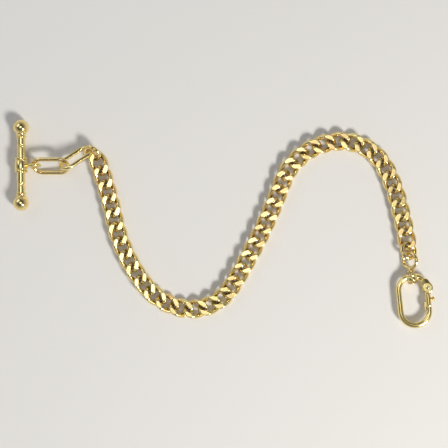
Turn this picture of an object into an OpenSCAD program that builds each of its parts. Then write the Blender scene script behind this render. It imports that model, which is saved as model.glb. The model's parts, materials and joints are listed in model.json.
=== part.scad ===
// Pocket watch chain: a toggle bar, two oval links, a curb chain and a swivel clasp.
// The chain lies on a flat surface, in the curve that it takes between a buttonhole and a pocket.
// +X runs from the toggle to the clasp, +Y up the wearer's front, +Z away from the cloth.
// The origin is at the middle of the footprint, on the surface. Sizes are in millimetres.

/* [Curb links] */
// Number of curb links between the two rings
link_count = 39; // [36:1:39]
// Distance from one link's centre to the next
link_pitch = 4.5; // [4.4:0.1:4.6]
// Length of one link over its ends
link_length = 7.8; // [7.7:0.1:8.1]
// Width of one link over its sides
link_width = 5.9; // [5.7:0.1:6.4]
// Diameter of the wire that the links are bent from
link_wire = 1.5; // [1.2:0.1:1.5]
// Twist of each end of a link, out of the plane of its middle, in degrees
link_twist = 50; // [46:1:54]
// How square a link's outline is: 2 is an ellipse, and more is squarer
link_squareness = 2.7; // [2.4:0.1:3]
// Thickness of the chain between its two filed faces
face_thickness = 2.9; // [2.6:0.1:3.5]

/* [Drape] */
// Heading of the chain where it leaves the toggle, in degrees from +X
fall_start = -71; // [-85:1:-60]
// Steepest heading of the fall
fall_steepest = -78; // [-88:1:-65]
// Heading where the fall rounds into the bottom of the curve
fall_end = -52; // [-65:1:-40]
// Heading just before the lowest link
low_point = -12; // [-25:1:0]
// Heading where the chain starts to rise
rise_start = 58; // [45:1:65]
// Steepest heading of the rise
rise_steepest = 70; // [60:1:80]
// Heading where the rise rounds into the crest
rise_end = 29; // [15:1:40]
// Heading at the crest
crest = 4; // [-10:1:15]
// Heading just over the crest
dive_start = -30; // [-45:1:-15]
// Heading inside the pocket
dive_steepest = -80; // [-88:1:-60]

/* [Oval links and rings] */
// Length of an oval link over its ends
oval_length = 12; // [10:0.5:15]
// Width of an oval link over its sides
oval_width = 6.4; // [5.5:0.1:8]
// Wire diameter of an oval link
oval_wire = 1.3; // [1:0.1:1.6]
// Radius of a ring, at the middle of its wire
ring_radius = 2.4; // [2:0.1:3]
// Wire diameter of a ring
ring_wire = 1.2; // [0.9:0.1:1.5]

/* [Toggle] */
// Length of the toggle bar over its balls
toggle_length = 28; // [22:1:34]
// Radius of the toggle rod
rod_radius = 1.3; // [1:0.1:1.8]
// Radius of the ball on each end of the rod
ball_radius = 2.4; // [2:0.1:3]
// Radius of the loop on the toggle, at the middle of its wire
loop_radius = 1.9; // [1.6:0.1:2.4]
// Wire diameter of the loop on the toggle
loop_wire = 1.0; // [0.8:0.1:1.3]

/* [Swivel clasp] */
// Radius of the clasp's eye, at the middle of its wire
eye_radius = 2.3; // [2:0.1:3]
// Wire diameter of the clasp's eye
eye_wire = 1.2; // [1:0.1:1.5]
// Radius of the round arcs of the hook, at the middle of its wire
hook_radius = 4.4; // [4:0.1:6]
// Length of the hook's straight side
hook_straight = 6.4; // [5:0.1:9]
// Wire diameter of the hook
hook_wire = 1.9; // [1.6:0.1:2.4]
// Radius of the gate's hinge pin
pin_radius = 0.4; // [0.3:0.05:0.6]

/* [Hidden] */
$fn = 48;
gold = [0.87, 0.72, 0.40];
steel = [0.72, 0.72, 0.70];

function unit(angle) = [cos(angle), sin(angle)];

// Curb links: one closed wire whose ends twist to opposite sides of its middle.
link_rings = 24;
wire_sides = 8;
half_length = (link_length - link_wire) / 2;
half_width = (link_width - link_wire) / 2;
link_z = face_thickness / 2;

// Headings at the links where the drape turns, and straight changes between them.
turns = [
    [1, fall_start],
    [5, fall_steepest],
    [10, fall_end],
    [13, low_point],
    [17, rise_start],
    [19, rise_start + 3],
    [25, rise_steepest],
    [28, rise_end],
    [30, crest],
    [32, dive_start],
    [34, dive_start - 32],
    [36, dive_steepest + 6],
    [39, dive_steepest]
];

function heading(i) = lookup(i, turns);
function stride(i) = link_pitch / 2 * (unit(heading(i)) + unit(heading(i + 1)));
function centre(i) = i == 1 ? [0, 0] : centre(i - 1) + stride(i - 1);

// Each neighbour's wire crosses inside the other's opening, and slack is what is left between them.
slack = 0.15;
ring_reach = ring_radius - ring_wire / 2 - slack;
oval_reach = oval_length / 2 - oval_wire - 2 * slack;
loop_reach = loop_radius - loop_wire / 2 - slack;

// Toggle end, worked out backwards from the first curb link.
start_ring_heading = -40;
start_ring_lean = 52;
start_ring_side = 240;
connecting_heading = 35;
connecting_pitch = 15;
connecting_roll = -50;
toggle_link_pitch = -6;
toggle_link_roll = 40;
loop_shift = 0.3;
start_join = centre(1) - link_pitch / 2 * unit(heading(1));
start_ring_at = start_join - ring_reach * unit(start_ring_heading);
connecting_at = start_ring_at - ring_reach * unit(start_ring_heading) - oval_reach * unit(connecting_heading);
toggle_link_at = connecting_at - oval_reach * unit(connecting_heading) - [oval_reach - slack, 0];
loop_at = toggle_link_at - [oval_reach - 2 * slack + loop_reach, -loop_shift];
collar_radius = rod_radius + 0.7;
collar_length = 4.6;
solder_depth = 0.1;
toggle_at = loop_at - [loop_radius + collar_radius - solder_depth, 0];
loop_z = loop_radius + loop_wire / 2;
toggle_z = max(ball_radius, loop_z);

// Heights at which the leaning rings and oval links touch the surface.
oval_arc = (oval_width - oval_wire) / 2;
oval_side = (oval_length - oval_width) / 2;
function ring_height(lean) = ring_radius * sin(lean) + ring_wire / 2;
function arc_height(pitch, roll) = oval_arc * norm([sin(pitch), sin(roll) * cos(pitch)]);
function oval_height(pitch, roll) = arc_height(pitch, roll) + oval_side * abs(sin(pitch)) + oval_wire / 2;
start_ring_z = ring_height(start_ring_lean);
toggle_link_z = oval_height(toggle_link_pitch, toggle_link_roll);
connecting_z = oval_height(connecting_pitch, connecting_roll);

// Clasp end, worked out forwards from the last curb link.
end_ring_heading = heading(link_count) - 2;
end_ring_lean = 30;
end_ring_side = 30;
swivel_heading = heading(link_count) - 4;
end_join = centre(link_count) + link_pitch / 2 * unit(heading(link_count));
end_ring_at = end_join + ring_reach * unit(end_ring_heading);
end_ring_z = ring_height(end_ring_lean);
eye_reach = eye_radius - eye_wire / 2 - 2 * slack;
eye_at = end_ring_at + (ring_reach + eye_reach) * unit(swivel_heading);
eye_roll = 40;
swivel_z = 2.1;

// Clasp, along its own x from the middle of the eye.
stem_radius = 0.75;
running = 0.05;
collar_from = eye_radius + 0.6;
boss_from = 4.15;
boss_length = 2.3;
boss_radius = 1.9;
washer_gap = 0.12;
washer_from = boss_from + boss_length + washer_gap;
washer_length = 0.6;
washer_radius = 1.4;
press = 0.02;
top_arc_x = boss_from + 0.65 + hook_radius;
low_arc_x = top_arc_x + hook_straight;
pivot_x = top_arc_x - 0.4;
nose_x = low_arc_x - 0.9;
ear_radius = 1.6;
ear_half = 1.55;
slot_half = 0.62;
knuckle_radius = 1.25;
knuckle_low = -0.56;
knuckle_high = 0.14;
neck_x = pivot_x + 1.9;
gate_radius = 0.85;
gate_end = nose_x - 0.12;
tongue_thickness = 0.45;
tongue_half = 0.45;
tongue_y = hook_radius - hook_wire / 2 - running - tongue_thickness;
knob_x = pivot_x + 3.6;
knob_length = 1.9;
spring_wire = 0.2;
spring_radius = 0.68;
spring_turns = 2;

// The whole object's footprint, for the shift that puts the origin at its middle.
far_x = eye_at[0] + knob_x * cos(swivel_heading) - (hook_radius + knob_length) * sin(swivel_heading);
low_y = eye_at[1] + (low_arc_x + hook_radius + hook_wire / 2) * sin(swivel_heading);
near_x = toggle_at[0] - ball_radius;
high_y = toggle_at[1] + toggle_length / 2;
middle = [(near_x + far_x) / 2, (low_y + high_y) / 2];

function signed_power(v) = sign(v) * pow(abs(v), 2 / link_squareness);
function wire_point(t) =
    let (x = half_length * signed_power(cos(t)))
    let (y = half_width * signed_power(sin(t)))
    let (twist = link_twist * x / half_length)
    [x, y * cos(twist), y * sin(twist)];
function clamped(p) = [p[0], p[1], max(-face_thickness / 2, min(face_thickness / 2, p[2]))];
function direction(v) = v / norm(v);

function wire_ring(t) =
    let (near = 180 / link_rings)
    let (mid = wire_point(t))
    let (along = direction(wire_point(t + near) - wire_point(t - near)))
    let (twist = link_twist * mid[0] / half_length)
    let (level = [0, -sin(twist), cos(twist)])
    let (out = direction(cross(along, level)))
    let (up = cross(out, along))
    [for (k = [0:wire_sides - 1])
        let (angle = 360 * (k + 0.5) / wire_sides)
        clamped(mid + link_wire / 2 * (cos(angle) * out + sin(angle) * up))];

module curb_link() {
    points = [for (i = [0:link_rings - 1]) each wire_ring(360 * (i + 0.5) / link_rings)];
    faces = [
        for (i = [0:link_rings - 1])
        for (k = [0:wire_sides - 1])
        let (i2 = (i + 1) % link_rings)
        let (k2 = (k + 1) % wire_sides)
        let (a = i * wire_sides + k)
        let (b = i2 * wire_sides + k)
        let (c = i2 * wire_sides + k2)
        let (d = i * wire_sides + k2)
        each [[a, c, b], [a, d, c]]
    ];
    polyhedron(points, faces);
}

module placed(at, z) {
    translate([at[0] - middle[0], at[1] - middle[1], z])
        children();
}

module numbered_link(i) {
    color(gold)
        placed(centre(i), link_z)
            rotate([0, 0, heading(i)])
                curb_link();
}

module wire_circle(radius, wire, angle = 360) {
    rotate_extrude(angle = angle)
        translate([radius, 0])
            circle(d = wire);
}

// A rod of round wire along x.
module wire_straight(x, y, length, wire) {
    translate([x, y, 0])
        rotate([0, 90, 0])
            cylinder(d = wire, h = length);
}

module oval_link() {
    for (end = [0, 180])
        rotate([0, 0, end]) {
            translate([oval_side, 0, 0])
                rotate([0, 0, -90])
                    wire_circle(oval_arc, oval_wire, 180);
            wire_straight(-oval_side, oval_arc, 2 * oval_side, oval_wire);
        }
}

// A ring that leans over: its face is tilted by lean towards the side angle.
module leaning_ring(lean, side) {
    rotate([0, 0, side])
        rotate([0, lean, 0])
            wire_circle(ring_radius, ring_wire);
}

module toggle_bar() {
    color(gold)
        placed(toggle_at, toggle_z)
            rotate([90, 0, 0])
                cylinder(r = rod_radius, h = toggle_length - 2 * ball_radius, center = true);
}

// A ball with a short turned neck that grips the rod.
module toggle_ball(side) {
    neck_length = 1.6;
    color(gold)
        placed(toggle_at, toggle_z)
            rotate([-90 * side, 0, 0])
                difference() {
                    translate([0, 0, toggle_length / 2 - ball_radius])
                        union() {
                            sphere(r = ball_radius);
                            translate([0, 0, -ball_radius - neck_length / 2])
                                cylinder(r = rod_radius + 0.35, h = neck_length);
                        }
                    cylinder(r = rod_radius - press, h = toggle_length / 2 - ball_radius);
                }
}

module toggle_ball_upper() {
    toggle_ball(1);
}

module toggle_ball_lower() {
    toggle_ball(-1);
}

module toggle_collar() {
    color(gold)
        placed(toggle_at, toggle_z)
            rotate([90, 0, 0])
                difference() {
                    cylinder(r = collar_radius, h = collar_length, center = true);
                    cylinder(r = rod_radius - press, h = 2 * collar_length, center = true);
                }
}

module toggle_loop() {
    color(gold)
        placed(loop_at, toggle_z)
            rotate([90, 0, 0])
                wire_circle(loop_radius, loop_wire);
}

module toggle_link() {
    color(gold)
        placed(toggle_link_at, toggle_link_z)
            rotate([0, toggle_link_pitch, 0])
                rotate([toggle_link_roll, 0, 0])
                    oval_link();
}

module connecting_link() {
    color(gold)
        placed(connecting_at, connecting_z)
            rotate([0, 0, connecting_heading])
                rotate([0, connecting_pitch, 0])
                    rotate([connecting_roll, 0, 0])
                        oval_link();
}

module start_ring() {
    color(gold)
        placed(start_ring_at, start_ring_z)
            leaning_ring(start_ring_lean, start_ring_side);
}

module end_ring() {
    color(gold)
        placed(end_ring_at, end_ring_z)
            leaning_ring(end_ring_lean, end_ring_side);
}

// Everything in the clasp is drawn along x and then laid in place here.
module clasp() {
    placed(eye_at, swivel_z)
        rotate([0, 0, swivel_heading])
            children();
}

module swivel_eye() {
    color(gold)
        clasp() {
            rotate([eye_roll, 0, 0])
                wire_circle(eye_radius, eye_wire);
            wire_straight(eye_radius, 0, washer_from + washer_length - eye_radius, 2 * stem_radius);
            wire_straight(collar_from, 0, 0.7, 2.6);
        }
}

module swivel_washer() {
    color(gold)
        clasp()
            difference() {
                wire_straight(washer_from, 0, washer_length, 2 * washer_radius);
                wire_straight(washer_from - 1, 0, washer_length + 2, 2 * (stem_radius - press));
            }
}

module hook_wirework() {
    translate([top_arc_x, 0, 0])
        rotate([0, 0, 90])
            wire_circle(hook_radius, hook_wire, 180);
    wire_straight(top_arc_x, -hook_radius, hook_straight, hook_wire);
    translate([low_arc_x, 0, 0])
        rotate([0, 0, -90])
            wire_circle(hook_radius, hook_wire, 180);
    wire_straight(nose_x, hook_radius, low_arc_x - nose_x, hook_wire);
    wire_straight(boss_from, 0, boss_length, 2 * boss_radius);
}

module hinge_block() {
    hull() {
        translate([pivot_x, hook_radius, -ear_half])
            cylinder(r = ear_radius, h = 2 * ear_half, $fn = 32);
        translate([pivot_x - 1.7, hook_radius - 0.5, -ear_half + 0.3])
            cylinder(r = ear_radius - 0.4, h = 2 * ear_half - 0.6, $fn = 32);
    }
}

module swivel_hook() {
    color(gold)
        clasp()
            difference() {
                union() {
                    hook_wirework();
                    hinge_block();
                }
                wire_straight(boss_from - 3, 0, boss_length + 3.01, 2 * (stem_radius + running));
                translate([pivot_x - knuckle_radius - 0.15, hook_radius - 4, -slot_half])
                    cube([6, 8, 2 * slot_half]);
                translate([pivot_x, hook_radius, -ear_half - 1])
                    cylinder(r = pin_radius - press / 2, h = 2 * ear_half + 2);
            }
}

module gate_shape() {
    translate([pivot_x, hook_radius, knuckle_low])
        cylinder(r = knuckle_radius, h = knuckle_high - knuckle_low);
    translate([pivot_x, hook_radius - gate_radius, knuckle_low])
        cube([neck_x - pivot_x + 0.3, 2 * gate_radius, knuckle_high - knuckle_low]);
    wire_straight(neck_x, hook_radius, gate_end - neck_x, 2 * gate_radius);
    // The tongue rests on the inside of the nose, so the gate opens inwards only.
    translate([gate_end - 1.4, tongue_y, -tongue_half])
        cube([2.5, tongue_thickness, 2 * tongue_half]);
    translate([gate_end - 1.4, tongue_y, -tongue_half])
        cube([1.4, hook_radius - tongue_y, 2 * tongue_half]);
    // The knob that a thumbnail pushes.
    translate([knob_x, hook_radius, 0])
        rotate([-90, 0, 0])
            cylinder(r1 = 0.5, r2 = 0.75, h = knob_length);
}

module swivel_gate() {
    color(gold)
        clasp()
            difference() {
                gate_shape();
                translate([pivot_x, hook_radius, -ear_half])
                    cylinder(r = pin_radius + running, h = 2 * ear_half);
            }
}

module gate_pin() {
    color(steel)
        clasp()
            translate([pivot_x, hook_radius, -ear_half])
                cylinder(r = pin_radius, h = 2 * ear_half);
}

// A closed coil around the pin, between the gate's knuckle and one ear.
module gate_spring() {
    color(steel)
        clasp()
            for (turn = [1:spring_turns])
                translate([pivot_x, hook_radius, slot_half - (turn - 0.5) * (spring_wire - press)])
                    wire_circle(spring_radius, spring_wire);
}

link_names = [for (i = [1:link_count]) str("curb_link_", i < 10 ? "0" : "", i)];

toggle_bar();
toggle_ball_upper();
toggle_ball_lower();
toggle_collar();
toggle_loop();
toggle_link();
connecting_link();
start_ring();
for (i = [1:link_count])
    numbered_link(i);
end_ring();
swivel_eye();
swivel_washer();
swivel_hook();
swivel_gate();
gate_pin();
gate_spring();
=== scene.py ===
"""Pocket watch chain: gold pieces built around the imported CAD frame. Everything is in metres."""

import json
import math
import random

import bmesh
import bpy
import numpy as np
from mathutils import Matrix, Vector
from mathutils.bvhtree import BVHTree


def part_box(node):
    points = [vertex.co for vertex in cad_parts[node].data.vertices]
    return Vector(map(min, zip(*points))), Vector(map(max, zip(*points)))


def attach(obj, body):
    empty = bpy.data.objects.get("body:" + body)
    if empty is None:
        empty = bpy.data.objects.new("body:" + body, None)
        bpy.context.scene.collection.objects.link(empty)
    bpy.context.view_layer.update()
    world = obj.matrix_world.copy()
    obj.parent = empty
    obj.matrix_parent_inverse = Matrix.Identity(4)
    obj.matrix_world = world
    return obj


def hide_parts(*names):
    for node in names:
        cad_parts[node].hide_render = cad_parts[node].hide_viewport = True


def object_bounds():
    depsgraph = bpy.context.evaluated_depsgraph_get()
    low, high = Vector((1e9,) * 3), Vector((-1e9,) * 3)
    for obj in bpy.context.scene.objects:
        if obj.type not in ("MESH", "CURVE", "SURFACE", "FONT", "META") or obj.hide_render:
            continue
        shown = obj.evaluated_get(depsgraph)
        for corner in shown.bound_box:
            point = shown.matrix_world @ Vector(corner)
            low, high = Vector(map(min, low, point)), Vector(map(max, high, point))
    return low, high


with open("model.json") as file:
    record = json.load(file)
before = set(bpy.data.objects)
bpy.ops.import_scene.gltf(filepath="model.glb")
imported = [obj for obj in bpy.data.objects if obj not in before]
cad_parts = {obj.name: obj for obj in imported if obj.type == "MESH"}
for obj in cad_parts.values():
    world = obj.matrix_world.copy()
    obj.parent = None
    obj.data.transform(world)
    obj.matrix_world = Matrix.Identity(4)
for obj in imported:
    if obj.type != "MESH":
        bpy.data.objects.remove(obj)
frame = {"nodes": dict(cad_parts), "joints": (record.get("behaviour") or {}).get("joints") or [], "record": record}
cad_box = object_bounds()

MM = 0.001
TURN = 2 * math.pi
GOLDEN_ANGLE = 2.399963

# Camera, straight above the chain, with a margin round it.
LENS = 90
SENSOR = 36
FRAME_MARGIN = 1.07

# Studio: each softbox's place, its size, its watts and its colour.
SOFTBOXES = {
    "key": ((0.45, -0.45, 0.55), (0.20, 0.17), 6.3, (1.0, 0.97, 0.92)),
    "fill": ((-0.28, 0.20, 0.30), (0.30, 0.22), 0.25, (0.93, 0.96, 1.0)),
    "ceiling": ((0, 0, 0.60), (0.38, 0.25), 0.29, (1.0, 0.98, 0.95)),
    "window": ((-0.03, 0.03, 0.58), (0.18, 0.09), 0.12, (1.0, 0.99, 0.97)),
}
WALL_COLOUR = (0.96, 0.97, 1.0, 1)
WALL_LIGHT = 0.50
ROOF_LIGHT = 0.09
WALL_TOP = 0.25
ROOF_EDGE = 0.75
FLOOR_HALF = 1.2
FLOOR_COLOUR = (0.80, 0.79, 0.77)

# Noise in the metals, as blobs to the metre.
CLOUDS = 420
GRAIN = 3500
SCRATCHES = 2600
SCRATCH_STRETCH = (0.12, 1, 1)
DRAWN = 5000
DRAWN_STRETCH = (0.2, 0.2, 1)
STRAW = 900

# Curb links, to the same formula as the CAD model, with round wire and softened edges.
LINK_COUNT = sum(name.startswith("curb_link_") for name in frame["nodes"])
LINK_LENGTH = 7.8 * MM
LINK_WIDTH = 5.9 * MM
LINK_PITCH = 4.5 * MM
LINK_WIRE = 1.5 * MM
LINK_TWIST = math.radians(50)
LINK_SQUARENESS = 2.7
FACE_THICKNESS = 2.8 * MM
FACE_SOFTNESS = 0.03 * MM
FACE_SLOPE = 0.025
FILING_SEED = 39
RUB_DEPTH = 0.1 * MM
SEAM_HEIGHT = 0.02 * MM
SEAM_LENGTH = 0.25 * MM

# Oval links and rings, at the middle of their wire.
OVAL_LENGTH = 12 * MM
OVAL_WIDTH = 6.4 * MM
OVAL_WIRE = 1.3 * MM
RING_RADIUS = 2.4 * MM
RING_WIRE = 1.2 * MM
SOLDER_LENGTH = 0.12 * MM
SOLDER_DEPTH = 0.05

# Toggle, along its own x.
TOGGLE_LENGTH = 28 * MM
ROD_RADIUS = 1.3 * MM
BALL_RADIUS = 2.4 * MM
NECK_RADIUS = 1.65 * MM
NECK_LENGTH = 1.6 * MM
COLLAR_RADIUS = 2.0 * MM
COLLAR_LENGTH = 4.6 * MM
LOOP_RADIUS = 1.9 * MM
LOOP_WIRE = 1.0 * MM
LOOP_FLARE = 0.3 * MM
LOOP_FLARE_LENGTH = 0.75 * MM
GROOVE_PLACES = (-6.2 * MM, -5.6 * MM, 5.6 * MM, 6.2 * MM)
GROOVE_HALF = 0.16 * MM
GROOVE_DEPTH = 0.09 * MM

# Swivel clasp, along its own x from the middle of its eye. PAST is how far a cutter runs on past its hole.
PAST = 3 * MM
SPIN_X = 5.3 * MM
EYE_RADIUS = 2.3 * MM
EYE_WIRE = 1.2 * MM
EYE_ROLL = math.radians(40)
STEM_RADIUS = 0.75 * MM
BORE_RADIUS = 0.82 * MM
SHOULDER_X = 2.9 * MM
SHOULDER_LENGTH = 0.7 * MM
SHOULDER_RADIUS = 1.3 * MM
BOSS_X = 4.15 * MM
BOSS_LENGTH = 2.3 * MM
BOSS_RADIUS = 1.9 * MM
WASHER_X = 6.57 * MM
WASHER_LENGTH = 0.6 * MM
WASHER_RADIUS = 1.4 * MM
HOOK_RADIUS = 4.4 * MM
HOOK_WIRE = 1.9 * MM
TOP_ARC_X = 9.2 * MM
LOW_ARC_X = 15.6 * MM
NOSE_X = 14.7 * MM
PIVOT_X = 8.8 * MM
EAR_RADIUS = 1.6 * MM
EAR_HALF = 1.55 * MM
SLOT_HALF = 0.62 * MM
PIN_RADIUS = 0.4 * MM
KNUCKLE_RADIUS = 1.25 * MM
KNUCKLE_LOW = -0.56 * MM
KNUCKLE_HIGH = 0.14 * MM
GATE_RADIUS = 0.85 * MM
NECK_X = 10.7 * MM
GATE_END = 14.58 * MM
TONGUE_Y = 2.95 * MM
TONGUE_THICKNESS = 0.45 * MM
TONGUE_HALF = 0.45 * MM
TONGUE_BACK = 1.4 * MM
TONGUE_REACH = 1.1 * MM
KNOB_X = 12.4 * MM
KNOB_LENGTH = 1.9 * MM
SPRING_RADIUS = 0.68 * MM
SPRING_WIRE = 0.14 * MM
SPRING_TURNS = 2
SPRING_PITCH = 0.155 * MM


# ---------------------------------------------------------------- camera, floor and lights

def add_camera():
    """A camera that looks straight down on the middle of the chain."""
    lo, hi = cad_box
    middle = (lo + hi) / 2
    data = bpy.data.cameras.new("camera")
    data.lens = LENS
    data.sensor_width = SENSOR
    data.clip_start = 0.01
    frame_width = FRAME_MARGIN * (hi.x - lo.x)
    camera = bpy.data.objects.new("camera", data)
    camera.location = (middle.x, middle.y, frame_width * LENS / SENSOR)
    bpy.context.scene.collection.objects.link(camera)
    bpy.context.scene.camera = camera


def add_light(name, location, size, power, colour):
    """A rectangular softbox that points at the middle of the chain."""
    data = bpy.data.lights.new(name, "AREA")
    data.shape = "RECTANGLE"
    data.size, data.size_y = size
    data.energy = power
    data.color = colour
    light = bpy.data.objects.new(name, data)
    light.location = location
    light.rotation_euler = (-Vector(location)).to_track_quat("-Z", "Y").to_euler()
    bpy.context.scene.collection.objects.link(light)


def add_studio():
    """Pale walls all round under a darker ceiling, with softboxes."""
    world = bpy.data.worlds.new("studio")
    world.use_nodes = True
    tree = world.node_tree
    background = tree.nodes["Background"]
    background.inputs["Color"].default_value = WALL_COLOUR
    direction = node(tree, "ShaderNodeSeparateXYZ")
    tree.links.new(node(tree, "ShaderNodeTexCoord").outputs["Generated"], direction.inputs[0])
    strength = ramp(tree, direction.outputs["Z"], WALL_TOP, ROOF_EDGE, WALL_LIGHT, ROOF_LIGHT)
    tree.links.new(strength, background.inputs["Strength"])
    scene = bpy.context.scene
    scene.world = world
    scene.view_settings.view_transform = "Standard"
    for name, settings in SOFTBOXES.items():
        add_light(name, *settings)


def add_floor():
    """A plain square of pale paper under the chain."""
    corners = [(x * FLOOR_HALF, y * FLOOR_HALF, 0) for x, y in ((-1, -1), (1, -1), (1, 1), (-1, 1))]
    floor = new_object("floor", corners, [(0, 1, 2, 3)])
    floor.data.materials.append(new_material("pale_paper", FLOOR_COLOUR, 0, 0.85)[0])


# ---------------------------------------------------------------- materials

# Each gold's pale and warm colours, its near-black brown for tarnish and painted shade in hollows, and its
# roughness.
CHAIN_GOLD = ((0.96, 0.80, 0.36), (0.95, 0.71, 0.33), (0.10, 0.06, 0.02), 0.20)
FITTING_GOLD = ((0.96, 0.79, 0.35), (0.95, 0.72, 0.32), (0.12, 0.075, 0.025), 0.17)


def new_material(name, colour, metallic, roughness):
    """A material for the slot of this name, with its shader and its node tree."""
    material = bpy.data.materials.new("finish_" + name)
    material["slot"] = name
    material.use_nodes = True
    shader = material.node_tree.nodes["Principled BSDF"]
    shader.inputs["Base Color"].default_value = (*colour, 1)
    shader.inputs["Metallic"].default_value = metallic
    shader.inputs["Roughness"].default_value = roughness
    return material, shader, material.node_tree


def node(tree, kind, **values):
    """A new node, with the named inputs or settings set."""
    made = tree.nodes.new(kind)
    for key, value in values.items():
        if key in made.inputs:
            made.inputs[key].default_value = value
        else:
            setattr(made, key, value)
    return made


def attribute(tree, name):
    return node(tree, "ShaderNodeAttribute", attribute_name=name).outputs["Fac"]


def ramp(tree, value, low, high, to_low=0.0, to_high=1.0):
    """value, mapped from low..high to to_low..to_high and held there."""
    made = tree.nodes.new("ShaderNodeMapRange")
    for slot, number in zip(("From Min", "From Max", "To Min", "To Max"), (low, high, to_low, to_high)):
        made.inputs[slot].default_value = number
    tree.links.new(value, made.inputs["Value"])
    return made.outputs["Result"]


def blend_colour(tree, factor, first, second):
    """first where factor is 0 and second where it is 1; each is a colour or a socket."""
    mix = node(tree, "ShaderNodeMix", data_type="RGBA")
    tree.links.new(factor, mix.inputs[0])
    for slot, colour in ((6, first), (7, second)):
        if isinstance(colour, tuple):
            mix.inputs[slot].default_value = (*colour, 1)
        else:
            tree.links.new(colour, mix.inputs[slot])
    return mix.outputs[2]


def combine(tree, operation, first, second):
    """The result of a sum on two values, each a number or a socket."""
    made = node(tree, "ShaderNodeMath", operation=operation)
    for slot, value in enumerate((first, second)):
        if isinstance(value, (int, float)):
            made.inputs[slot].default_value = value
        else:
            tree.links.new(value, made.inputs[slot])
    return made.outputs[0]


def noise(tree, place, scale, detail, stretch=(1, 1, 1)):
    """Noise with this many blobs to the metre, along stretched axes."""
    mapping = node(tree, "ShaderNodeMapping", Scale=stretch)
    texture = node(tree, "ShaderNodeTexNoise", Scale=scale, Detail=detail)
    tree.links.new(place, mapping.inputs["Vector"])
    tree.links.new(mapping.outputs["Vector"], texture.inputs["Vector"])
    return texture.outputs["Fac"]


def piece_place(tree):
    """Coordinates on the piece itself, moved by its tone so that no two pieces share a pattern."""
    shift = node(tree, "ShaderNodeVectorMath", operation="ADD")
    place = node(tree, "ShaderNodeAttribute", attribute_name="place")
    tree.links.new(place.outputs["Vector"], shift.inputs[0])
    tree.links.new(attribute(tree, "tone"), shift.inputs[1])
    return shift.outputs[0]


def gold(name, pale, warm, shade_and_tarnish_colour, polish):
    """Polished gold: bright where it is rubbed, and dark brown with painted shade and tarnishing where its sky is
    hidden.
    """
    material, shader, tree = new_material(name, pale, 1, polish)
    place = piece_place(tree)
    cloudy = noise(tree, place, CLOUDS, 3)
    fine = noise(tree, place, GRAIN, 4)
    scratches = noise(tree, place, SCRATCHES, 2, SCRATCH_STRETCH)

    # From pale to warm, in soft clouds and from piece to piece.
    piece_tone = combine(tree, "MULTIPLY", attribute(tree, "tone"), 0.5)
    shade = combine(tree, "ADD", combine(tree, "MULTIPLY", cloudy, 0.6), piece_tone)
    colour = blend_colour(tree, ramp(tree, shade, 0.35, 0.85), pale, warm)

    # Tarnish and painted shade: near-black brown where the ray-cast occlusion is highest, with a little grain.
    shade_and_grime = combine(tree, "ADD", attribute(tree, "cavity"), combine(tree, "MULTIPLY", fine, 0.25))
    tarnish_and_shade = ramp(tree, shade_and_grime, 0.60, 1.02)
    tree.links.new(blend_colour(tree, tarnish_and_shade, colour, shade_and_tarnish_colour), shader.inputs["Base Color"])

    # Duller where it is tarnished and painted with shade, and shinier where it is rubbed.
    handled = ramp(tree, fine, 0.3, 0.8, polish * 0.7, polish * 1.5)
    rough = combine(tree, "ADD", handled, combine(tree, "MULTIPLY", tarnish_and_shade, 0.3))
    rub = combine(tree, "MULTIPLY", attribute(tree, "rubbed"), 0.05)
    tree.links.new(combine(tree, "SUBTRACT", rough, rub), shader.inputs["Roughness"])

    bump = node(tree, "ShaderNodeBump", Strength=0.25, Distance=0.02 * MM)
    height = combine(tree, "ADD", scratches, combine(tree, "MULTIPLY", fine, 0.5))
    tree.links.new(height, bump.inputs["Height"])
    tree.links.new(bump.outputs["Normal"], shader.inputs["Normal"])
    return material


def spring_steel(name):
    """Drawn steel with a straw tint from its tempering."""
    material, shader, tree = new_material(name, (0.52, 0.52, 0.50), 1, 0.3)
    place = piece_place(tree)
    drawn = noise(tree, place, DRAWN, 3, DRAWN_STRETCH)
    straw = noise(tree, place, STRAW, 2)
    colour = blend_colour(tree, ramp(tree, straw, 0.4, 0.8), (0.55, 0.55, 0.53), (0.42, 0.36, 0.26))
    tree.links.new(colour, shader.inputs["Base Color"])
    tree.links.new(ramp(tree, drawn, 0.3, 0.8, 0.2, 0.42), shader.inputs["Roughness"])
    return material


# ---------------------------------------------------------------- mesh building

def new_object(name, vertices, faces):
    """A smooth-shaded mesh object."""
    mesh = bpy.data.meshes.new(name)
    mesh.from_pydata([tuple(v) for v in vertices], [], faces)
    piece = bpy.data.objects.new(name, mesh)
    bpy.context.scene.collection.objects.link(piece)
    mesh.shade_smooth()
    return piece


def unit_rows(v):
    """The vectors in v, each at length 1."""
    return v / np.linalg.norm(v, axis=-1, keepdims=True)


def grid_faces(rings, sides, closed):
    """Quads between neighbouring rings of points, with an end face on each end if it isn't closed."""
    faces = []
    for i in range(rings if closed else rings - 1):
        j = (i + 1) % rings
        for k in range(sides):
            m = (k + 1) % sides
            faces.append((i * sides + k, j * sides + k, j * sides + m, i * sides + m))
    if not closed:
        faces.append(tuple(range(sides)))
        faces.append(tuple(reversed(range((rings - 1) * sides, rings * sides))))
    return faces


def tube(path, radii, sides, closed, level=(0, 0, 1)):
    """Round wire along a path. level is nearly square to the path and sets where each ring starts."""
    if closed:
        along = np.roll(path, -1, 0) - np.roll(path, 1, 0)
    else:
        along = np.gradient(path, axis=0)
    along = unit_rows(along)
    out = unit_rows(np.cross(along, np.broadcast_to(level, path.shape)))
    up = np.cross(out, along)
    angles = TURN * (np.arange(sides) + 0.5) / sides
    radii = np.broadcast_to(radii, len(path))[:, None, None]
    across = np.cos(angles)[None, :, None] * out[:, None] + np.sin(angles)[None, :, None] * up[:, None]
    return (path[:, None] + radii * across).reshape(-1, 3), grid_faces(len(path), sides, closed)


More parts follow.
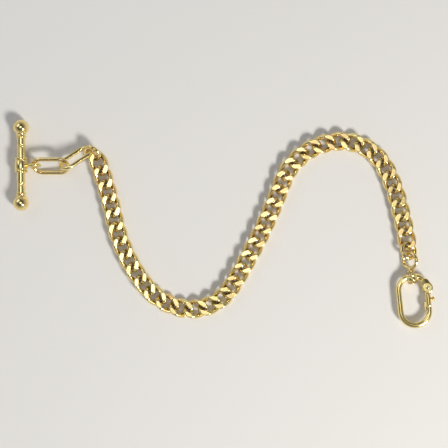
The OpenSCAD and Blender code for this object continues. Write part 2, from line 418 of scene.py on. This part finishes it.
def domed(path, radius, steps=6):
    """An open path and its radii, with a round cap added on each end."""
    tip = math.radians(86)
    angles = np.linspace(tip, 0, steps, endpoint=False)[:, None]
    start = unit_rows(path[0] - path[1])
    end = unit_rows(path[-1] - path[-2])
    radii = np.broadcast_to(radius, len(path))
    before = path[0] + start * np.sin(angles) * radii[0]
    after = path[-1] + end * np.sin(angles[::-1]) * radii[-1]
    cap = np.cos(angles[:, 0])
    all_radii = np.concatenate([cap * radii[0], radii, cap[::-1] * radii[-1]])
    return np.concatenate([before, path, after]), all_radii


def lathe(profile, segments=96, closed=False):
    """A turned shape around x. profile is (x, radius) pairs, in +x order on the outside."""
    angles = TURN * np.arange(segments) / segments
    x, r = np.array(profile, float).T
    rings = np.stack(
        [np.repeat(x[:, None], segments, 1), r[:, None] * np.cos(angles), -r[:, None] * np.sin(angles)], -1
    )
    return rings.reshape(-1, 3), grid_faces(len(profile), segments, closed)


def rounded(points, radius, closed=False, steps=5):
    """The outline with each corner rounded off. radius is one number, or one for each point."""
    points = [np.array(p, float) for p in points]
    count = len(points)
    radii = np.broadcast_to(radius, count)
    outline = []
    for i, corner in enumerate(points):
        if not closed and i in (0, count - 1):
            outline.append(corner)
            continue
        before, after = points[i - 1] - corner, points[(i + 1) % count] - corner
        reach_a = min(radii[i], 0.49 * np.linalg.norm(before))
        reach_b = min(radii[i], 0.49 * np.linalg.norm(after))
        a = corner + before / np.linalg.norm(before) * reach_a
        b = corner + after / np.linalg.norm(after) * reach_b
        for t in np.linspace(0, 1, steps):
            outline.append((1 - t) ** 2 * a + 2 * t * (1 - t) * corner + t**2 * b)
    return outline


def arc(centre, radius, start, end, steps):
    """Points on a flat arc, with its angles in degrees."""
    angles = np.radians(np.linspace(start, end, steps))
    return np.stack(
        [centre[0] + radius * np.cos(angles), centre[1] + radius * np.sin(angles), np.zeros(steps)], -1
    )


def evenly(path, count, closed):
    """count points evenly spaced along a dense path."""
    if closed:
        path = np.concatenate([path, path[:1]])
    run = np.concatenate([[0], np.cumsum(np.linalg.norm(np.diff(path, axis=0), axis=1))])
    stops = np.linspace(0, run[-1], count, endpoint=not closed)
    return np.stack([np.interp(stops, run, path[:, k]) for k in range(3)], -1)


def turned(shell, matrix):
    """A shell of vertices and faces, moved by a matrix."""
    vertices, faces = shell
    m = np.array(matrix)
    return vertices @ m[:3, :3].T + m[:3, 3], faces


def block(lo, hi):
    """A box between two corners."""
    x, y, z = zip(lo, hi)
    vertices = np.array([(x[i], y[j], z[k]) for i in (0, 1) for j in (0, 1) for k in (0, 1)])
    faces = [(0, 1, 3, 2), (4, 6, 7, 5), (0, 4, 5, 1), (2, 3, 7, 6), (0, 2, 6, 4), (1, 5, 7, 3)]
    return vertices, faces


def settle(piece):
    """Makes a piece's modifiers part of its mesh."""
    graph = bpy.context.evaluated_depsgraph_get()
    mesh = bpy.data.meshes.new_from_object(piece.evaluated_get(graph))
    piece.modifiers.clear()
    piece.data = mesh
    mesh.shade_smooth()


def skin(piece, voxel, polish):
    """One even skin over everything in the piece, polished so that joints get a small fillet."""
    remesh = piece.modifiers.new("skin", "REMESH")
    remesh.mode = "VOXEL"
    remesh.voxel_size = voxel
    smooth = piece.modifiers.new("polish", "SMOOTH")
    smooth.factor = 0.5
    smooth.iterations = polish
    settle(piece)


def carve(name, shells, cutters, voxel, polish):
    """One solid piece: all the shells as one, less the cutters, with softened edges."""
    vertices, faces = [], []
    for points, corners in shells:
        faces += [tuple(c + len(vertices) for c in face) for face in corners]
        vertices += list(points)
    piece = new_object(name, vertices, faces)
    skin(piece, voxel, 0)
    for points, corners in cutters:
        tool = new_object("cutter", points, corners)
        cut = piece.modifiers.new("cut", "BOOLEAN")
        cut.operation = "DIFFERENCE"
        cut.solver = "EXACT"
        cut.object = tool
        settle(piece)
        bpy.data.objects.remove(tool)
    skin(piece, voxel, polish)
    return piece


# ---------------------------------------------------------------- places from the frame

def node_matrix(name):
    """A CAD node's middle and its own axes: x its longest way and z its shortest, from its surface."""
    mesh = frame["nodes"][name].data
    mesh.calc_loop_triangles()
    corners = np.array([v.co for v in mesh.vertices])[[t.vertices[:] for t in mesh.loop_triangles]]
    area = np.linalg.norm(np.cross(corners[:, 1] - corners[:, 0], corners[:, 2] - corners[:, 0]), axis=1)
    corners = corners - np.average(corners.mean(1), axis=0, weights=area)
    total = corners.sum(1)
    spread = np.einsum("i,ijk,ijl->kl", area, corners, corners)
    spread = spread + np.einsum("i,ik,il->kl", area, total, total)
    axes = np.linalg.eigh(spread)[1].T[::-1]
    x, z = Vector(axes[0]), Vector(axes[2])
    lo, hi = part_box(name)
    middle = (lo + hi) / 2
    if x.x < 0:
        x.negate()
    if z.z < 0:
        z.negate()
    y = z.cross(x)
    return Matrix.Translation(middle) @ Matrix((x, y, z)).transposed().to_4x4()


def clasp_matrix():
    """The clasp's own frame: x along its stem, from the middle of its eye."""
    spin = next(joint for joint in frame["joints"] if joint["name"] == "swivel_spin")
    axis = Vector(spin["axis"]).normalized()
    origin = Vector(spin["pos_m"]) - axis * SPIN_X
    return Matrix.Translation(origin) @ Matrix.Rotation(math.atan2(axis.y, axis.x), 4, "Z")


def node_body(name):
    """The body that a CAD node belongs to."""
    bodies = frame["record"]["behaviour"]["bodies"]
    return next(body for body, members in bodies.items() if name in members)


# ---------------------------------------------------------------- curb links

def curb_link_shell(rings, sides):
    """One link before its faces are filed: its vertices and faces."""
    half_length = (LINK_LENGTH - LINK_WIRE) / 2
    half_width = (LINK_WIDTH - LINK_WIRE) / 2
    off_corner = 1e-4
    angles = np.linspace(0, TURN, 8000, endpoint=False) + off_corner
    x, y = (
        half * np.sign(wave) * np.abs(wave) ** (2 / LINK_SQUARENESS)
        for half, wave in ((half_length, np.cos(angles)), (half_width, np.sin(angles)))
    )
    twist = LINK_TWIST * x / half_length
    path = evenly(np.stack([x, y * np.cos(twist), y * np.sin(twist)], -1), rings, True)
    twist = LINK_TWIST * path[:, 0] / half_length
    level = np.stack([np.zeros(rings), -np.sin(twist), np.cos(twist)], -1)
    seam = SEAM_HEIGHT * np.exp(-((path[:, 0] / SEAM_LENGTH) ** 2)) * (path[:, 1] > 0)
    return tube(path, LINK_WIRE / 2 + seam, sides, True, level)


def filed(vertices, slope):
    """The link with its two faces filed flat on a slight slope, and how far each vertex was filed."""
    limit = FACE_THICKNESS / 2 + vertices[:, :2] @ np.array(slope)
    height = vertices[:, 2]
    below = (limit - np.abs(height)) / FACE_SOFTNESS
    flat = np.sign(height) * (limit - FACE_SOFTNESS * np.logaddexp(0, below))
    return np.column_stack([vertices[:, :2], flat]), np.abs(height - flat)


def add_curb_links(material):
    """The curb links, each filed a little differently. One link in a row of three gives their hollows the painted
    shade and tarnishing, from ray-cast occlusion.
    """
    rough, faces = curb_link_shell(112, 32)
    level = filed(rough, (0, 0))[0]
    row = [turned((level, faces), Matrix.Translation((i * LINK_PITCH, 0, 0))) for i in (-1, 0, 1)]
    model = new_object("model_link", level, faces)
    # Ray-cast occlusion of the middle link, painted into the gold as shade and tarnishing.
    cavity = occlusion(model.data, row, 20)
    bpy.data.objects.remove(model)
    chance = random.Random(FILING_SEED)
    for i in range(1, LINK_COUNT + 1):
        cad_name = f"curb_link_{i:02d}"
        vertices, depth = filed(rough, [chance.uniform(-FACE_SLOPE, FACE_SLOPE) for _ in range(2)])
        piece = new_object(f"gold_link_{i:02d}", vertices, faces)
        rubbed = np.clip(depth / RUB_DEPTH, 0, 1)
        finish(piece, node_matrix(cad_name), cad_name, material, cavity, rubbed)


# ---------------------------------------------------------------- wear and painted shade

def vertex_places(mesh):
    """The mesh's vertices as rows of x, y and z."""
    places = np.empty(3 * len(mesh.vertices), np.float32)
    mesh.vertices.foreach_get("co", places)
    return places.reshape(-1, 3)


def occlusion(mesh, shells, rays, reach=4 * MM):
    """For each vertex of the mesh, the share of its sky that the shells hide, from 0 to 1."""
    points, corners = [], []
    for vertices, faces in shells:
        corners += [tuple(c + len(points) for c in face) for face in faces]
        points += [tuple(v) for v in vertices]
    tree = BVHTree.FromPolygons(points, corners)
    turns = np.arange(rays) * GOLDEN_ANGLE
    height = np.sqrt((np.arange(rays) + 0.5) / rays)
    level = np.sqrt(1 - height**2)
    dome = [Vector(ray) for ray in np.stack([np.cos(turns) * level, np.sin(turns) * level, height], -1)]
    lift = 0.02 * MM
    hidden = []
    for vertex in mesh.vertices:
        start = vertex.co + vertex.normal * lift
        rotation = Vector((0, 0, 1)).rotation_difference(vertex.normal).to_matrix()
        hits = sum(tree.ray_cast(start, rotation @ ray, reach)[0] is not None for ray in dome)
        hidden.append(hits / rays)
    return np.array(hidden)


def finish(piece, matrix, cad_name, material, cavity=0.0, rubbed=0.0):
    """Lays a piece in place with its wear, its painted shade and its material, and hands it to the frame for its
    CAD node.
    """
    mesh = piece.data
    tone = random.Random(cad_name).random()
    # cavity is ray-cast occlusion, which the gold paints as shade and tarnishing; rubbed is real wear on the filed
    # faces.
    for name, value in (("cavity", cavity), ("rubbed", rubbed), ("tone", tone)):
        made = mesh.attributes.new(name, "FLOAT", "POINT")
        made.data.foreach_set("value", np.broadcast_to(value, len(mesh.vertices)).astype(np.float32))
    place = mesh.attributes.new("place", "FLOAT_VECTOR", "POINT")
    place.data.foreach_set("vector", vertex_places(mesh).ravel())
    mesh.transform(matrix)
    mesh.materials.clear()
    mesh.materials.append(material)
    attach(piece, node_body(cad_name))
    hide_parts(cad_name)


def own_cavity(piece, rays=12):
    """The cavity value of each vertex of a piece on its own: its ray-cast occlusion, which the gold paints as
    shade and tarnishing.
    """
    mesh = piece.data
    faces = [tuple(p.vertices) for p in mesh.polygons]
    return occlusion(mesh, [(vertex_places(mesh), faces)], rays)


# ---------------------------------------------------------------- oval links and rings

def add_wire_link(name, cad_name, material, outline, wire, seam_at):
    """A closed link of round wire, with a fine soldered seam where its ends meet."""
    path = evenly(outline, 168, True)
    distance = np.linalg.norm(path - np.array(seam_at), axis=1)
    radii = wire / 2 * (1 - SOLDER_DEPTH * np.exp(-((distance / SOLDER_LENGTH) ** 2)))
    piece = new_object(name, *tube(path, radii, 32, True))
    finish(piece, node_matrix(cad_name), cad_name, material, own_cavity(piece), 0.3)


def add_ovals_and_rings(material):
    """Two oval links and two rings, each with its seam in the middle of a side."""
    arc_radius = (OVAL_WIDTH - OVAL_WIRE) / 2
    side = (OVAL_LENGTH - OVAL_WIDTH) / 2
    ends = [arc((side, 0), arc_radius, -90, 90, 400), arc((-side, 0), arc_radius, 90, 270, 400)]
    oval = np.concatenate(ends)
    ring = arc((0, 0), RING_RADIUS, 0, 360, 721)[:-1]
    for cad_name in ("toggle_link", "connecting_link"):
        add_wire_link("gold_" + cad_name, cad_name, material, oval, OVAL_WIRE, (0, arc_radius, 0))
    for cad_name in ("start_ring", "end_ring"):
        add_wire_link("gold_" + cad_name, cad_name, material, ring, RING_WIRE, (0, RING_RADIUS, 0))


# ---------------------------------------------------------------- toggle

def add_toggle(material):
    """The toggle's rod, its two balls with turned necks, its collar and the loop soldered to that."""
    lo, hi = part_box("toggle_bar")
    along_y = Matrix.Translation((lo + hi) / 2) @ Matrix.Rotation(TURN / 4, 4, "Z")
    half = TOGGLE_LENGTH / 2 - BALL_RADIUS
    grip = ROD_RADIUS - 0.02 * MM

    tip = 0.02 * MM
    rod = [(-half, tip), (-half, grip * 0.9), (-half + 0.4 * MM, grip)]
    for x in GROOVE_PLACES:
        for step, depth in ((-GROOVE_HALF, 0), (0, GROOVE_DEPTH), (GROOVE_HALF, 0)):
            rod.append((x + step, ROD_RADIUS - depth))
    rod += [(half - 0.4 * MM, grip), (half, grip * 0.9), (half, tip)]
    piece = new_object("gold_toggle_bar", *lathe(rounded(rod, 0.05 * MM)))
    finish(piece, along_y, "toggle_bar", material, own_cavity(piece), 0.4)

    neck_end = half - BALL_RADIUS - NECK_LENGTH / 2
    neck = [
        (half, tip),
        (half, grip),
        (neck_end, grip),
        (neck_end, NECK_RADIUS - 0.15 * MM),
        (neck_end + 0.1 * MM, NECK_RADIUS),
        (neck_end + 0.5 * MM, NECK_RADIUS),
        (neck_end + 0.65 * MM, NECK_RADIUS - 0.2 * MM),
    ]
    start = math.degrees(math.asin((NECK_RADIUS - 0.2 * MM) / BALL_RADIUS))
    angles = np.radians(np.linspace(180 - start, 0.6, 60))
    ball = [(half + BALL_RADIUS * math.cos(a), BALL_RADIUS * math.sin(a)) for a in angles]
    for cad_name, turn in (("toggle_ball_upper", 0), ("toggle_ball_lower", TURN / 2)):
        profile = rounded(neck, 0.12 * MM) + ball
        piece = new_object("gold_" + cad_name, *lathe(profile, 128))
        finish(piece, along_y @ Matrix.Rotation(turn, 4, "Z"), cad_name, material, own_cavity(piece), 0.6)

    end = COLLAR_LENGTH / 2
    edge = [
        (-end, COLLAR_RADIUS - 0.12 * MM),
        (-end + 0.12 * MM, COLLAR_RADIUS),
        (-end + 0.6 * MM, COLLAR_RADIUS),
        (-end + 0.75 * MM, COLLAR_RADIUS - 0.22 * MM),
        (-end + 0.95 * MM, COLLAR_RADIUS - 0.22 * MM),
        (-end + 1.15 * MM, COLLAR_RADIUS - 0.06 * MM),
    ]
    outside = edge + [(0, COLLAR_RADIUS)] + [(-x, r) for x, r in reversed(edge)]
    collar = [(-end, grip)] + outside + [(end, grip)]
    piece = new_object("gold_toggle_collar", *lathe(rounded(collar, 0.08 * MM, True), 128, True))
    finish(piece, along_y, "toggle_collar", material, own_cavity(piece), 0.4)

    lo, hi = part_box("toggle_loop")
    path = arc((0, 0), LOOP_RADIUS, 0, 360, 161)[:-1]
    from_collar = np.linalg.norm(path + (LOOP_RADIUS, 0, 0), axis=1)
    solder = LOOP_FLARE * np.exp(-((from_collar / LOOP_FLARE_LENGTH) ** 2))
    piece = new_object("gold_toggle_loop", *tube(path, LOOP_WIRE / 2 + solder, 32, True))
    on_edge = Matrix.Translation((lo + hi) / 2) @ Matrix.Rotation(TURN / 4, 4, "X")
    finish(piece, on_edge, "toggle_loop", material, own_cavity(piece), 0.3)


# ---------------------------------------------------------------- swivel clasp

def upright(shell, x, y, z=0.0):
    """A shape turned around x, stood up along z at this place."""
    return turned(shell, Matrix.Translation((x, y, z)) @ Matrix.Rotation(-TURN / 4, 4, "Y"))


def rod_shape(low, high, radius, edge=0.0, segments=96):
    """A rod along x from low to high, with its edges rounded."""
    tip = 0.01 * MM
    corners = [(low, tip), (low, radius), (high, radius), (high, tip)]
    return lathe(rounded(corners, edge) if edge else corners, segments)


def add_swivel_eye(place, material):
    """The eye, with its shoulder and the stem that is peened over past the washer."""
    ring = tube(arc((0, 0), EYE_RADIUS, 0, 360, 161)[:-1], EYE_WIRE / 2, 32, True)
    end = WASHER_X + WASHER_LENGTH
    stem = [
        (EYE_RADIUS, 0.01 * MM),
        (EYE_RADIUS, STEM_RADIUS),
        (SHOULDER_X, STEM_RADIUS + 0.1 * MM),
        (SHOULDER_X + 0.1 * MM, SHOULDER_RADIUS),
        (SHOULDER_X + SHOULDER_LENGTH, SHOULDER_RADIUS),
        (SHOULDER_X + SHOULDER_LENGTH, STEM_RADIUS),
        (end - 0.05 * MM, STEM_RADIUS),
        (end - 0.02 * MM, STEM_RADIUS + 0.15 * MM),
        (end + 0.16 * MM, STEM_RADIUS - 0.1 * MM),
        (end + 0.18 * MM, 0.01 * MM),
    ]
    shells = [turned(ring, Matrix.Rotation(EYE_ROLL, 4, "X")), lathe(rounded(stem, 0.1 * MM))]
    piece = carve("gold_swivel_eye", shells, [], 0.06 * MM, 4)
    finish(piece, place, "swivel_eye", material, own_cavity(piece, 8), 0.3)


def add_swivel_washer(place, material):
    """The washer inside the hook, which holds the stem in the boss."""
    low, high, bore = WASHER_X, WASHER_X + WASHER_LENGTH, STEM_RADIUS - 0.02 * MM
    corners = [(low, bore), (low, WASHER_RADIUS), (high, WASHER_RADIUS), (high - 0.06 * MM, bore)]
    profile = rounded(corners, (0.03 * MM, 0.2 * MM, 0.25 * MM, 0.03 * MM), True, 8)
    piece = new_object("gold_swivel_washer", *lathe(profile, 96, True))
    finish(piece, place, "swivel_washer", material, own_cavity(piece), 0.3)


def add_hook(place, material):
    """The hook: its bent wire, thickest at the bow, its turned boss and the two ears for the gate."""
    dense = np.concatenate(
        [
            arc((TOP_ARC_X, 0), HOOK_RADIUS, 90, 270, 200),
            arc((LOW_ARC_X, 0), HOOK_RADIUS, -90, 90, 200),
            [(NOSE_X, HOOK_RADIUS, 0)],
        ]
    )
    path = evenly(dense, 240, False)
    bow = np.exp(-(((path[:, 0] - LOW_ARC_X - HOOK_RADIUS) / (4.5 * MM)) ** 2))
    wire = tube(path, HOOK_WIRE / 2 * (0.93 + 0.07 * bow), 40, False)

    end = BOSS_X + BOSS_LENGTH
    boss = [
        (BOSS_X, 0.01 * MM),
        (BOSS_X, BOSS_RADIUS - 0.2 * MM),
        (BOSS_X + 0.2 * MM, BOSS_RADIUS),
        (BOSS_X + 0.55 * MM, BOSS_RADIUS),
        (BOSS_X + 0.7 * MM, BOSS_RADIUS - 0.2 * MM),
        (BOSS_X + 0.9 * MM, BOSS_RADIUS - 0.2 * MM),
        (BOSS_X + 1.05 * MM, BOSS_RADIUS - 0.05 * MM),
        (end - 0.4 * MM, BOSS_RADIUS - 0.1 * MM),
        (end, BOSS_RADIUS - 0.4 * MM),
        (end, 0.01 * MM),
    ]
    ears = hull_shape(
        [
            upright(rod_shape(-EAR_HALF, EAR_HALF, EAR_RADIUS, 0.3 * MM, 48), PIVOT_X, HOOK_RADIUS),
            upright(
                rod_shape(-EAR_HALF + 0.3 * MM, EAR_HALF - 0.3 * MM, EAR_RADIUS - 0.4 * MM, 0.3 * MM, 48),
                PIVOT_X - 1.7 * MM,
                HOOK_RADIUS - 0.5 * MM,
            ),
        ]
    )
    slot_x = PIVOT_X - KNUCKLE_RADIUS - 0.15 * MM
    slot_reach = 4 * MM
    slot_low = (slot_x, HOOK_RADIUS - slot_reach, -SLOT_HALF)
    slot_high = (slot_x + 6 * MM, HOOK_RADIUS + slot_reach, SLOT_HALF)
    cutters = [
        rod_shape(BOSS_X - PAST, end + 0.2 * MM, BORE_RADIUS),
        block(slot_low, slot_high),
        upright(rod_shape(-PAST, PAST, PIN_RADIUS, segments=48), PIVOT_X, HOOK_RADIUS),
    ]
    piece = carve("gold_swivel_hook", [wire, lathe(rounded(boss, 0.1 * MM)), ears], cutters, 0.07 * MM, 3)
    finish(piece, place, "swivel_hook", material, own_cavity(piece, 8), 0.3)


def hull_shape(shells):
    """The convex hull of some shells."""
    made = bmesh.new()
    for vertices, _ in shells:
        for v in vertices:
            made.verts.new(v)
    bmesh.ops.convex_hull(made, input=made.verts)
    loose = [v for v in made.verts if not v.link_faces]
    bmesh.ops.delete(made, geom=loose, context="VERTS")
    made.verts.index_update()
    vertices = np.array([v.co for v in made.verts])
    faces = [tuple(v.index for v in face.verts) for face in made.faces]
    made.free()
    return vertices, faces


def add_gate(place, material):
    """The gate: its knuckle, its rod, its thumb knob and the tongue that stops it against the nose."""
    y = HOOK_RADIUS
    knuckle = rod_shape(KNUCKLE_LOW, KNUCKLE_HIGH, KNUCKLE_RADIUS, 0.08 * MM)
    cheek_end = NECK_X + 0.3 * MM
    cheek = block((PIVOT_X, y - GATE_RADIUS, KNUCKLE_LOW), (cheek_end, y + GATE_RADIUS, KNUCKLE_HIGH))
    taper = [
        (NECK_X, 0.01 * MM),
        (NECK_X, GATE_RADIUS - 0.15 * MM),
        (cheek_end, GATE_RADIUS),
        (GATE_END - 0.3 * MM, GATE_RADIUS),
        (GATE_END, GATE_RADIUS - 0.12 * MM),
        (GATE_END, 0.01 * MM),
    ]
    knob = [
        (0, 0.01 * MM),
        (0, 0.5 * MM),
        (KNOB_LENGTH * 0.45, 0.42 * MM),
        (KNOB_LENGTH * 0.62, 0.5 * MM),
        (KNOB_LENGTH * 0.7, 0.75 * MM),
        (KNOB_LENGTH * 0.88, 0.75 * MM),
        (KNOB_LENGTH, 0.45 * MM),
        (KNOB_LENGTH, 0.01 * MM),
    ]
    lift = Matrix.Translation((KNOB_X, y, 0)) @ Matrix.Rotation(TURN / 4, 4, "Z")
    tongue_back = (GATE_END - TONGUE_BACK, TONGUE_Y, -TONGUE_HALF)
    tongue = block(tongue_back, (GATE_END + TONGUE_REACH, TONGUE_Y + TONGUE_THICKNESS, TONGUE_HALF))
    root = block(tongue_back, (GATE_END, y, TONGUE_HALF))
    shells = [
        upright(knuckle, PIVOT_X, y),
        cheek,
        turned(lathe(rounded(taper, 0.1 * MM)), Matrix.Translation((0, y, 0))),
        tongue,
        root,
        turned(lathe(rounded(knob, 0.08 * MM)), lift),
    ]
    bore = upright(rod_shape(-PAST, PAST, PIN_RADIUS + 0.05 * MM, segments=48), PIVOT_X, y)
    piece = carve("gold_swivel_gate", shells, [bore], 0.05 * MM, 3)
    finish(piece, place, "swivel_gate", material, own_cavity(piece, 8), 0.3)


def add_pin_and_spring(place, material):
    """The gate's riveted pin, and its torsion spring with a leg on the gate and a leg in the ears."""
    dome = 0.1 * MM
    corners = [
        (-EAR_HALF - dome, 0.02 * MM),
        (-EAR_HALF - dome * 0.7, PIN_RADIUS * 0.7),
        (-EAR_HALF, PIN_RADIUS - 0.01 * MM),
        (EAR_HALF, PIN_RADIUS - 0.01 * MM),
        (EAR_HALF + dome * 0.7, PIN_RADIUS * 0.7),
        (EAR_HALF + dome, 0.02 * MM),
    ]
    pin = lathe(rounded(corners, 0.08 * MM), 64)
    piece = new_object("steel_gate_pin", *upright(pin, PIVOT_X, HOOK_RADIUS))
    finish(piece, place, "gate_pin", material)

    low = KNUCKLE_HIGH + 0.085 * MM
    high = low + SPRING_TURNS * SPRING_PITCH
    steps = 97
    angles = -TURN * (0.25 + np.linspace(0, SPRING_TURNS, steps))
    coil = np.stack([np.cos(angles), np.sin(angles), np.zeros(steps)], -1) * SPRING_RADIUS
    coil[:, 2] = np.linspace(low, high, steps)
    first = [(x, -SPRING_RADIUS, low) for x in np.linspace(1.3 * MM, 0.05 * MM, 20)]
    last = [(-x, -SPRING_RADIUS, high) for x in np.linspace(0.05 * MM, 0.9 * MM, 14)]
    path = np.concatenate([first, coil, last]) + (PIVOT_X, HOOK_RADIUS, 0)
    wire, radii = domed(evenly(path, 180, False), SPRING_WIRE / 2)
    piece = new_object("steel_gate_spring", *tube(wire, radii, 14, False))
    finish(piece, place, "gate_spring", material)


# ---------------------------------------------------------------- the whole thing

add_camera()
add_studio()
add_floor()

chain_gold = gold("chain_gold", *CHAIN_GOLD)
fitting_gold = gold("fitting_gold", *FITTING_GOLD)
steel = spring_steel("spring_steel")
clasp = clasp_matrix()

add_toggle(fitting_gold)
add_ovals_and_rings(fitting_gold)
add_curb_links(chain_gold)
add_swivel_eye(clasp, fitting_gold)
add_swivel_washer(clasp, fitting_gold)
add_hook(clasp, fitting_gold)
add_gate(clasp, fitting_gold)
add_pin_and_spring(clasp, steel)
